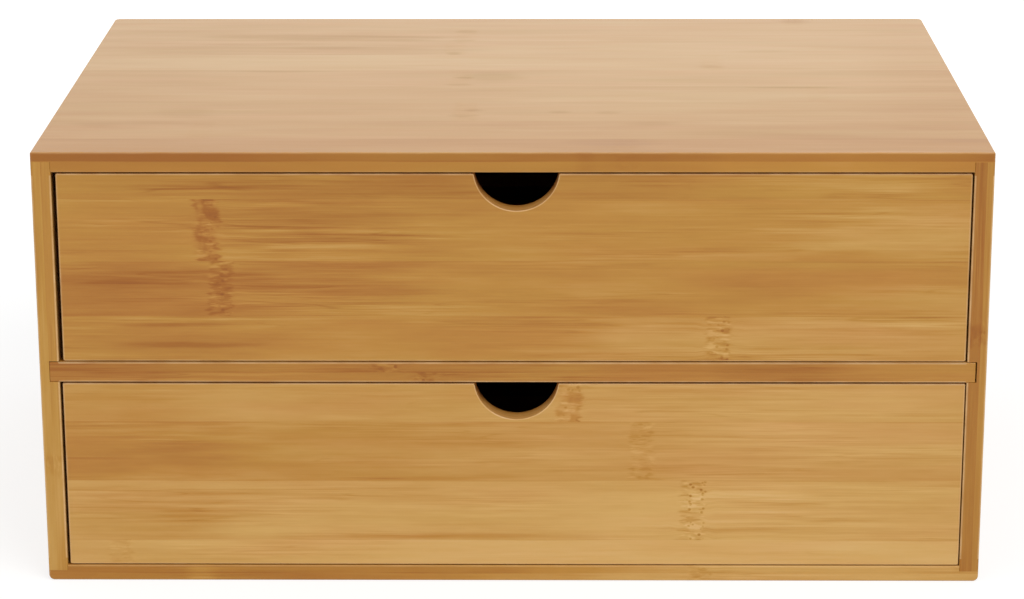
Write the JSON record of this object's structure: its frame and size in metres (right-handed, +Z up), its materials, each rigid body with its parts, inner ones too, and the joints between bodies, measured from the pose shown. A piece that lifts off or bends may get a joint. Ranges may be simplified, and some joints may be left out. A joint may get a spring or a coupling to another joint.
{
  "type": "desktop drawer organizer",
  "caption": "Low desktop chest of drawers in laminated bamboo, with lapped corners, a housed shelf and loose drawers opened by round finger notches.",
  "frame": {"origin": "centre of the base, on the surface that the chest stands on", "axes": "+X to the right as seen from the front, -Y out of the drawer fronts towards the user, +Z up"},
  "size_m": [0.34, 0.235, 0.1612],
  "materials": {
    "carcass_bamboo": "satin lacquer over laminated bamboo strips",
    "drawer_front_bamboo": "satin lacquer over laminated bamboo strips",
    "drawer_box_bamboo": "plain sanded bamboo",
    "thin_bamboo_board": "plain sanded bamboo ply",
    "brad_steel": "bright drawn wire"
  },
  "bodies": {
    "carcass": {"top_panel": "carcass_bamboo", "bottom_panel": "carcass_bamboo", "left_side": "carcass_bamboo", "right_side": "carcass_bamboo", "shelf": "carcass_bamboo", "back_panel": "thin_bamboo_board", "back_panel_brads": "brad_steel"},
    "upper_drawer": {"upper_drawer_front": "drawer_front_bamboo", "upper_drawer_left_wall": "drawer_box_bamboo", "upper_drawer_right_wall": "drawer_box_bamboo", "upper_drawer_back": "drawer_box_bamboo", "upper_drawer_floor": "thin_bamboo_board", "upper_drawer_brads": "brad_steel"},
    "lower_drawer": {"lower_drawer_front": "drawer_front_bamboo", "lower_drawer_left_wall": "drawer_box_bamboo", "lower_drawer_right_wall": "drawer_box_bamboo", "lower_drawer_back": "drawer_box_bamboo", "lower_drawer_floor": "thin_bamboo_board", "lower_drawer_brads": "brad_steel"}
  },
  "joints": [
    {"name": "upper_drawer_slide", "type": "slide", "parent": "carcass", "child": "upper_drawer", "axis": [0, -1, 0], "range_m": [0, 0.18]},
    {"name": "lower_drawer_slide", "type": "slide", "parent": "carcass", "child": "lower_drawer", "axis": [0, -1, 0], "range_m": [0, 0.18]}
  ]
}
